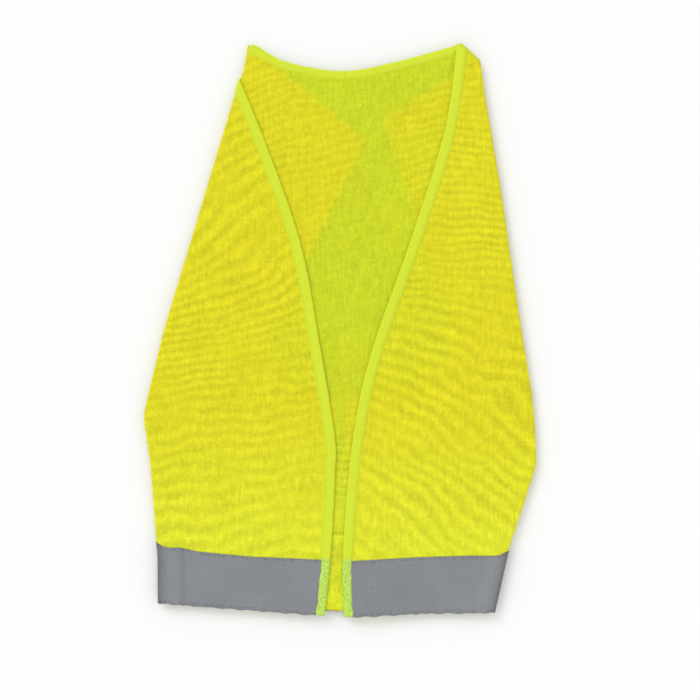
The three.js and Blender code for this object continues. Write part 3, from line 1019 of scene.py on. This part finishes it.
BINDING_PROFILE = [
    (0, -0.44), (-2.4, -0.43), (-4.3, -0.36), (-4.75, 0.1), (-4.5, 0.75), (-3.6, 1.08),
    (-2.2, 1.18), (-0.8, 1.12), (0.6, 1.16), (2.0, 1.1), (2.9, 0.92), (3.3, 0.72),
    (3.8, 0.86), (4.4, 0.78), (4.75, 0.2), (4.3, -0.36), (2.4, -0.43),
]
NECK_PROFILE = [
    (0, -0.64), (-2.0, -0.64), (-3.5, -0.56), (-3.75, -0.1), (-3.5, 0.3), (-2.6, 0.5),
    (-0.9, 0.58), (0.9, 0.5), (2.1, 0.4), (2.6, 0.26), (3.1, 0.36), (3.6, 0.2),
    (3.75, -0.2), (3.5, -0.56), (2.0, -0.64),
]
THIN_PROFILE = [
    (0, -0.34), (-2.4, -0.33), (-4.4, -0.27), (-4.75, 0.0), (-4.5, 0.28), (-3.0, 0.36),
    (0.0, 0.38), (2.6, 0.34), (3.2, 0.24), (3.8, 0.32), (4.5, 0.26), (4.75, 0.0),
    (4.4, -0.27), (2.4, -0.33),
]
SEAM_PROFILE = [
    (-1.25, -0.6), (-1.45, 0.0), (-1.2, 0.5), (-0.4, 0.72),
    (0.5, 0.7), (1.2, 0.45), (1.45, 0.0), (1.25, -0.6),
]


def over_band(u, y):
    """1 where a binding lies over the tape."""
    return ease(-np.asarray(y), -BAND_TOP, 1.5 - BAND_TOP)


OVER_BAND = (("over_band", over_band),)


def binding(name, side, path, profile, ply, part=None, nodes=(), cut=None):
    """A binding, swept along a path of (u, y) points of a ply. Without a side it is the back's."""
    place = (lambda a, b, t: side.place(a, b, ply, t)) if side else place_back
    obj = strip(name, path, profile, place, finish_named("lime_binding"), OVER_BAND, cut)
    return follow(obj, nodes, side, part)


def seam(node, side, path, part=None):
    """The raised ridge of an overlocked seam, on the front ply of a side."""
    place = lambda a, b, t: side.place(a, b, FRONT, SEAM_LIFT + t)
    obj = strip(f"{node}_ridge", path, SEAM_PROFILE, place, finish_named("lime_thread"), OVER_BAND)
    return follow(obj, (node,), side, part)


def binding_paths(side):
    """The edge binding of a front from the hem up, and the end of it that the folded side carries."""
    path = resample(side.front_path[::-1], 2.0)
    past = path[:, 0] > side.side_end(path[:, 1], FRONT)
    if not past.any():
        return path, None
    first = int(np.argmax(past))
    return path[: first + 1], path[first:]


def neck_paths():
    """The neck binding from the left side's hinge line to the right neck point, and its end folded behind."""
    middle = sideways(NECK, NECK_BINDING_INSET)
    middle = middle[middle[:, 0] < RIGHT.shoulder_on_top[0][0] + 1]
    x, y = LEFT.shoulder[0]
    behind = -float(LEFT.under(x, y, BACK))
    path = resample(np.concatenate([[(behind, y)], middle]), 1.0)
    path = np.stack([smoothed(c, 3) for c in path.T], -1)
    past = int(np.argmax(path[:, 0] > -LEFT.side_end(path[:, 1], BACK)))
    return resample(path[past:], 2.0), resample(path[: past + 1], 2.0)


def armhole_path(side, ply):
    """The cut edge of an armhole along a ply, from the shoulder tip to the underarm."""
    x, y = side.armhole_path.T
    return resample(np.stack([side.under(x, y, ply), y], -1), 2.0)


def shoulder_cut(u):
    """The y at which the right front's binding ends, along the rounded shoulder corner."""
    (x0, y0), (x1, y1) = RIGHT.shoulder_on_top
    return np.minimum(y0 - 0.6, y0 + (u - x0) * (y1 - y0) / (x1 - x0)) + 0.4


def shoulder_path(side, ply):
    """The shoulder seam on the folded side, from the hinge line or the neck point to the tip."""
    (x0, y0), (x1, y1) = side.shoulder
    x, y = np.linspace(x0, x1, 60), np.linspace(y0, y1, 60)
    u = side.under(x, y, ply)
    beyond = u > side.side_end(y, ply) - 0.3
    return resample(np.stack([u, y], -1)[beyond], 2.0)


def side_seam_path(side, ply):
    """The side seam from the underarm to the hem."""
    y = np.linspace(side.armhole[-1][1], line_y(side.side_hem, side.seam_x) + 1, 90)
    return resample(np.stack([side.under(side.seam_x, y, ply), y], -1), 2.0)


def band_line(start, end, hem, above):
    """Points along the tape, that far above its lower edge. start and end are its ends at each y."""
    level = CLOTH_LOW + above
    first, last = float(start(level)), float(end(level))
    u = np.linspace(first, last, int(abs(last - first) / 1.5) + 2)
    return np.stack([u, hem(u, u * 0 + BAND_LEVEL) + above], -1)


BINDING_GROOVE = 3.3  # the stitched line lies this far from a binding's middle
BINDING_STITCH = 0.84  # and this high on it
THIN_STITCH = 0.28  # or this high on the thinner ones
NECK_GROOVE, NECK_STITCH = 2.6, 0.32  # the same for the neck binding
BAND_ROWS = (2.0, BAND_WIDTH - 2.0)  # stitched lines on the tape, above its lower edge
FRONT_BAND_LIFT = 0.75
BACK_BAND_LIFT = -0.8
SEAM_LIFT = -0.45


def make_bindings():
    """Every binding. A front's own binding passes to the folded side at its hinge line, as thinner tape."""
    for side in SIDES:
        main, tail = binding_paths(side)
        front = f"{side.name}_front"
        cut = shoulder_cut if side.shoulder_on_top else None
        nodes = (f"{front}_binding",)
        binding(f"{front}_edge_binding", side, main, BINDING_PROFILE, FRONT, "front", nodes, cut)
        if tail is not None:
            nodes = (f"{front}_binding_end",)
            binding(f"{front}_edge_binding_end", side, tail, THIN_PROFILE, FRONT, "side", nodes)
        for ply, label in ((FRONT, "front"), (BACK, "back")):
            path = armhole_path(side, ply)
            nodes = (f"{side.name}_armhole_binding",) if label == "front" else ()
            binding(f"{side.name}_armhole_{label}_binding", side, path, THIN_PROFILE, ply, "side", nodes)
    main, tail = neck_paths()
    binding("neck_edge_binding", None, main, NECK_PROFILE, BACK, nodes=("neck_binding",))
    tail = (tail * (-1, 1))[::-1]
    binding("neck_edge_binding_end", LEFT, tail, THIN_PROFILE, BACK, "side", ("left_neck_binding_end",))
    middle = main[(main[:, 0] > -2.5) & (main[:, 0] < 5.5)]
    joined = np.array(NECK_PROFILE) * (1.07, 1.25)
    binding("neck_binding_join", None, resample(middle, 0.8), joined, BACK)


def make_bands():
    """The tape round the hem: over each front and its fold, behind on both plies, and across the back."""
    for side in SIDES:
        name = side.name
        for ply, label, lift in ((FRONT, "front", FRONT_BAND_LIFT), (BACK, "back", BACK_BAND_LIFT)):
            place = lambda a, b, t: side.place(a, b, ply, t)
            fold = lambda y: side.side_end(y, ply)
            if ply is FRONT:
                breaks = fold_breaks(side, ply, lambda y: front_edge(side, y, 2.5), fold)
                hem = lambda u, y: hem_level(side, ply, u, y, side.hem)
                nodes = (f"{name}_front_band", f"{name}_front_band_fold")
                band(f"{name}_front_tape", ply, place, breaks, hem, lift, nodes, side, "front")
            breaks = [(fold, None), (lambda y: side.under(side.seam_x + 1.5, y, ply), None)]
            hem = lambda u, y: line_y(side.side_hem, side.lower_x(u, y, ply))
            nodes = (f"{name}_side_{label}_band",)
            band(f"{name}_side_{label}_tape", ply, place, breaks, hem, lift, nodes, side, "side")
    breaks = back_breaks()
    band("back_tape", BACK, place_back, breaks, back_hem, BACK_BAND_LIFT, ("back_band",))
    make_hem()


def make_hem():
    """The back's lower edge, turned up on the inside."""
    inset = 4.0
    breaks = [
        (lambda y: -LEFT.flat_end(y, BACK) + inset, None),
        (lambda y: RIGHT.flat_end(y, BACK) - inset, None),
    ]
    rows = np.linspace(0, HEM_WIDTH, 10)
    u, y = lay_out(breaks, rows, lambda u, base: back_hem(u, base * 0 + HEM_LEVEL) + base)
    place = lambda a, b, t: place_back(a, b, HEM_LIFT + t)
    even = np.ones_like(u)
    # The turned hem's painted shading is one fixed value, which makes it a little lighter all over.
    attributes = (("doubled", 0.75 * even), ("banding", 0.2 * even), ("turns", u / 9), ("painted_shading", 0.35 * even))
    obj = shell("back_turned_hem", u, y, place, HEM_CLOTH, finish_named("lime_mesh"), attributes)
    follow(obj)


def make_seams():
    for side in SIDES:
        seam(f"{side.name}_shoulder_seam", side, shoulder_path(side, FRONT), "side")
        seam(f"{side.name}_side_seam", side, side_seam_path(side, FRONT), "side")
    seam("right_shoulder_seam_at_neck", RIGHT, shoulder_on_top_path())


def shoulder_on_top_path():
    """The right shoulder seam from the neck point over the side fold to the hinge line."""
    end_level = 239.0
    end = (float(RIGHT.side_end(end_level, FRONT)), end_level)
    return resample([*RIGHT.shoulder_on_top, end], 1.5)


def lifted(side, path, across, ply, lift):
    """The points of a path moved across itself and lifted off the ply. Without a side it is the back's."""
    moved = sideways(path, across)
    if side is None:
        return place_back(moved[:, 0], moved[:, 1], lift)
    return side.place(moved[:, 0], moved[:, 1], ply, lift)


def make_stitching():
    """Every row of stitches. The meshes made without a part ride on the back."""
    sizes = bpy.context.scene.vest_stitching
    thread, dark = finish_named("lime_thread"), finish_named("grey_thread")
    row = (thread, sizes.pitch, sizes.length, sizes.radius)
    on_band = (dark, sizes.band_pitch, sizes.band_length, sizes.radius, 0.0, sizes.band_gaps)
    overlock = (thread, sizes.overlock_pitch, sizes.overlock_length, sizes.radius, sizes.overlock_lean)

    def sew(name, rows, kind, side=None, part=None):
        follow(stitches(name, rows, *kind), (), side, part)

    for side in SIDES:
        name = side.name
        main, tail = binding_paths(side)
        rows = [lifted(side, main, BINDING_GROOVE, FRONT, BINDING_STITCH)]
        sew(f"{name}_front_stitches", rows, row, side, "front")

        hem = lambda u, y: hem_level(side, FRONT, u, y, side.hem)
        rows = []
        for above in BAND_ROWS:
            start, end = (lambda y: front_edge(side, y, 4.5)), (lambda y: side.side_end(y, FRONT))
            line = band_line(start, end, hem, above)
            line[:, 1] += np.interp(line[:, 0], *np.array(side.tape_rise).T) * above / BAND_WIDTH
            rows.append(lifted(side, line, 0, FRONT, FRONT_BAND_LIFT + TAPE / 2 + 0.05))
        sew(f"{name}_front_band_stitches", rows, on_band, side, "front")

        rows, tape_rows, seam_rows = [], [], []
        if tail is not None:
            rows.append(lifted(side, tail, BINDING_GROOVE, FRONT, THIN_STITCH))
        rows.append(lifted(side, armhole_path(side, FRONT), BINDING_GROOVE, FRONT, THIN_STITCH))
        rows.append(lifted(side, armhole_path(side, BACK), BINDING_GROOVE, BACK, -THIN_STITCH))
        for ply, lift in ((FRONT, FRONT_BAND_LIFT + TAPE / 2), (BACK, BACK_BAND_LIFT - TAPE / 2)):
            side_hem = lambda u, y: line_y(side.side_hem, side.lower_x(u, y, ply))
            start = lambda y: side.side_end(y, ply) + 0.5
            end = lambda y: side.under(side.seam_x + 3, y, ply)
            for above in BAND_ROWS:
                tape_rows.append(lifted(side, band_line(start, end, side_hem, above), 0, ply, lift))
        for path in (shoulder_path(side, FRONT), side_seam_path(side, FRONT)):
            seam_rows.append(lifted(side, path, 0, FRONT, SEAM_LIFT + 0.62))
        sew(f"{name}_side_stitches", rows, row, side, "side")
        sew(f"{name}_side_overlock", seam_rows, overlock, side, "side")
        sew(f"{name}_side_band_stitches", tape_rows, on_band, side, "side")

    rows = [lifted(None, neck_paths()[0], NECK_GROOVE, BACK, NECK_STITCH)]
    u = np.linspace(-LEFT.flat_end(HEM_LEVEL, BACK) + 6, RIGHT.flat_end(HEM_LEVEL, BACK) - 6, 200)
    for above in (1.6, HEM_WIDTH - 1.6):
        rows.append(place_back(u, back_hem(u, u * 0 + HEM_LEVEL) + above, HEM_LIFT + HEM_CLOTH / 2 + 0.04))
    sew("back_stitches", rows, row)
    rows = [lifted(RIGHT, shoulder_on_top_path(), 0, FRONT, SEAM_LIFT + 0.3)]
    sew("neck_point_overlock", rows, overlock)
    rows = []
    for above in BAND_ROWS:
        start, end = (lambda y: -LEFT.side_end(y, BACK)), (lambda y: RIGHT.side_end(y, BACK))
        u, y = band_line(start, end, back_hem, above).T
        rows.append(place_back(u, y, BACK_BAND_LIFT - TAPE / 2))
    sew("back_band_stitches", rows, on_band)


def make_cloth():
    """The knitted pieces, each with the size that it was cut to."""
    back, u, y = back_cloth()
    for side in SIDES:
        name = side.name
        front, u, y = front_cloth(side)
        for ply, label, under in ((FRONT, "front", ()), (BACK, "back", (f"{name}_side_front_cloth",))):
            part, u, y = side_cloth(side, ply, label)


# ---------------------------------------------------------------- stage


def make_stage():
    """A pale floor, a soft even light with a key from the upper left, and a camera straight above."""
    light = bpy.context.scene.vest_stage
    me = bpy.data.meshes.new("floor")
    half = 6.0
    corners = [(-half, -half, FLOOR), (half, -half, FLOOR), (half, half, FLOOR), (-half, half, FLOOR)]
    me.from_pydata(corners, [], [(0, 1, 2, 3)])
    floor = bpy.data.objects.new("floor", me)
    bpy.context.collection.objects.link(floor)
    paint = bpy.data.materials.new("pale_floor")
    n = Nodes(paint)
    n.finish(Base_Color=tint(light.floor, 1), Roughness=0.9)
    n.surface.inputs["Specular IOR Level"].default_value = 0.1
    me.materials.append(paint)

    world = bpy.data.worlds.new("studio")
    world.use_nodes = True
    sky = world.node_tree.nodes["Background"]
    sky.inputs[0].default_value = (1, 1, 1, 1)
    sky.inputs[1].default_value = light.fill
    bpy.context.scene.world = world

    key = bpy.data.lights.new("key", "SUN")
    key.energy = light.key
    key.angle = light.key_softness
    lamp = bpy.data.objects.new("key", key)
    lamp.rotation_euler = (math.radians(-38), math.radians(-40), 0)
    bpy.context.collection.objects.link(lamp)

    scene = bpy.context.scene
    scene.view_settings.view_transform = "Standard"
    camera = bpy.data.objects.new("camera", bpy.data.cameras.new("camera"))
    camera.data.lens = light.lens
    height = light.frame_width * light.lens / camera.data.sensor_width
    camera.location = (light.centre[0], light.centre[1], height)
    bpy.context.collection.objects.link(camera)
    scene.camera = camera


# ---------------------------------------------------------------- panel


def colour_of(name, description, r, g, b):
    """A colour property, given as sRGB values from 0 to 255."""
    linear = [((c / 255 + 0.055) / 1.055) ** 2.4 for c in (r, g, b)]
    return bpy.props.FloatVectorProperty(
        name=name, description=description, subtype="COLOR", size=3, min=0, max=1, default=linear
    )


def number_of(name, description, default, **limits):
    """A number property."""
    return bpy.props.FloatProperty(name=name, description=description, default=default, **limits)


def length_of(name, description, default):
    """A length property in metres."""
    return number_of(name, description, default, min=0.00001, unit="LENGTH", precision=5)


class VestLook(bpy.types.PropertyGroup):
    """Colours of the vest and the scale of its knit."""

    cloth_single: colour_of("Single cloth", "Cloth with nothing behind it", 206, 220, 45)
    cloth_doubled: colour_of("Doubled cloth", "Cloth with more cloth behind it", 226, 220, 42)
    cloth_warm: colour_of("Warm cloth", "Patches where the dye is warmer", 229, 214, 34)
    cloth_lower: colour_of("Lower cloth", "Cloth near the hem", 227, 235, 55)
    binding: colour_of("Binding", "Edge binding", 220, 236, 60)
    binding_over_band: colour_of("Binding over tape", "Edge binding where it crosses the tape", 198, 240, 84)
    binding_pale: colour_of("Pale binding", "Pale loops of the binding over the tape", 226, 248, 150)
    tape: colour_of("Tape", "Reflective tape", 135, 138, 142)
    thread: colour_of("Thread", "Sewing thread on the cloth and bindings", 205, 214, 52)
    band_thread: colour_of("Tape thread", "Sewing thread on the tape", 48, 50, 46)
    knit_pitch: length_of("Knit pitch", "Distance between the holes of the mesh", 0.0018)
    hole_depth: number_of("Hole shade", "How dark the holes are", 0.15, min=0, max=1)
    band_contrast: number_of("Wave contrast", "Strength of the wavy bands in the knit", 0.095, min=0, max=0.5)


class VestStitching(bpy.types.PropertyGroup):
    """Sizes of the stitches."""

    pitch: length_of("Pitch", "Distance between stitches on a binding", 0.0032)
    length: length_of("Length", "Length of those stitches", 0.0025)
    radius: length_of("Thread radius", "Half the thickness of a stitch", 0.00022)
    band_pitch: length_of("Tape pitch", "Distance between stitches on the tape", 0.0041)
    band_length: length_of("Tape length", "Length of those stitches", 0.0023)
    band_gaps: number_of("Tape gaps", "Share of the tape's stitches that don't show", 0.38, min=0, max=1)
    overlock_pitch: length_of("Overlock pitch", "Distance between overlock loops", 0.0017)
    overlock_length: length_of("Overlock length", "Length of an overlock loop", 0.0031)
    overlock_lean: number_of("Overlock lean", "Turn of the loops from the seam", 1.1, subtype="ANGLE")


class VestStage(bpy.types.PropertyGroup):
    """Floor, light and camera."""

    floor: colour_of("Floor", "Colour of the floor", 253, 253, 253)
    fill: number_of("Fill", "Strength of the even light", 0.856, min=0)
    key: number_of("Key", "Strength of the light from the upper left", 0.8, min=0)
    key_softness: number_of("Key softness", "Angle that the key light fills", 0.5, min=0, subtype="ANGLE")
    lens: number_of("Lens", "Focal length in millimetres", 85, min=20)
    frame_width: length_of("Frame", "Width of the view on the floor", 0.63)
    centre: bpy.props.FloatVectorProperty(
        name="Centre",
        description="Where the camera looks",
        size=2,
        default=(0.00945, -0.01755),
        subtype="XYZ",
        unit="LENGTH",
    )


class VEST_OT_bindings(bpy.types.Operator):
    """Makes the bindings of the front edges, neck and armholes."""

    bl_idname = "vest.bindings"
    bl_label = "Edge bindings"

    def execute(self, context):
        make_bindings()
        return {"FINISHED"}


class VEST_OT_bands(bpy.types.Operator):
    """Makes the reflective bands and the turned hem."""

    bl_idname = "vest.bands"
    bl_label = "Reflective bands"

    def execute(self, context):
        make_bands()
        return {"FINISHED"}


class VEST_OT_seams(bpy.types.Operator):
    """Makes the shoulder and side seams."""

    bl_idname = "vest.seams"
    bl_label = "Seams"

    def execute(self, context):
        make_seams()
        return {"FINISHED"}


class VEST_OT_stitching(bpy.types.Operator):
    """Makes the rows of stitches on the bindings, tape and seams."""

    bl_idname = "vest.stitching"
    bl_label = "Stitching"

    def execute(self, context):
        make_stitching()
        return {"FINISHED"}


class VEST_OT_cloth(bpy.types.Operator):
    """Makes the knitted cloth of the back, fronts and folded sides."""

    bl_idname = "vest.cloth"
    bl_label = "Knitted cloth"

    def execute(self, context):
        make_cloth()
        return {"FINISHED"}


class VEST_OT_stage(bpy.types.Operator):
    """Makes the floor, light and camera."""

    bl_idname = "vest.stage"
    bl_label = "Stage"

    def execute(self, context):
        make_stage()
        return {"FINISHED"}


class VEST_PT_panel(bpy.types.Panel):
    """Lists the vest's pieces and its looks."""

    bl_label = "High visibility vest"
    bl_idname = "VEST_PT_panel"
    bl_space_type = "VIEW_3D"
    bl_region_type = "UI"
    bl_category = "Vest"

    def draw(self, context):
        for operator in OPERATORS:
            self.layout.operator(operator.bl_idname)
        for group in (context.scene.vest_look, context.scene.vest_stitching, context.scene.vest_stage):
            box = self.layout.box()
            for key in group.__annotations__:
                box.prop(group, key)


OPERATORS = (
    VEST_OT_bindings, VEST_OT_bands, VEST_OT_seams, VEST_OT_stitching, VEST_OT_cloth, VEST_OT_stage,
)
GROUPS = {"vest_look": VestLook, "vest_stitching": VestStitching, "vest_stage": VestStage}
CLASSES = (*GROUPS.values(), *OPERATORS, VEST_PT_panel)


def register():
    for one in CLASSES:
        bpy.utils.register_class(one)
    for name, group in GROUPS.items():
        setattr(bpy.types.Scene, name, bpy.props.PointerProperty(type=group))


def unregister():
    for name in GROUPS:
        delattr(bpy.types.Scene, name)
    for one in reversed(CLASSES):
        bpy.utils.unregister_class(one)


def main():
    register()
    bpy.ops.vest.bindings()
    bpy.ops.vest.bands()
    bpy.ops.vest.seams()
    bpy.ops.vest.stitching()
    bpy.ops.vest.cloth()
    bpy.ops.vest.stage()
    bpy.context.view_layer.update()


if __name__ == "__main__":
    main()
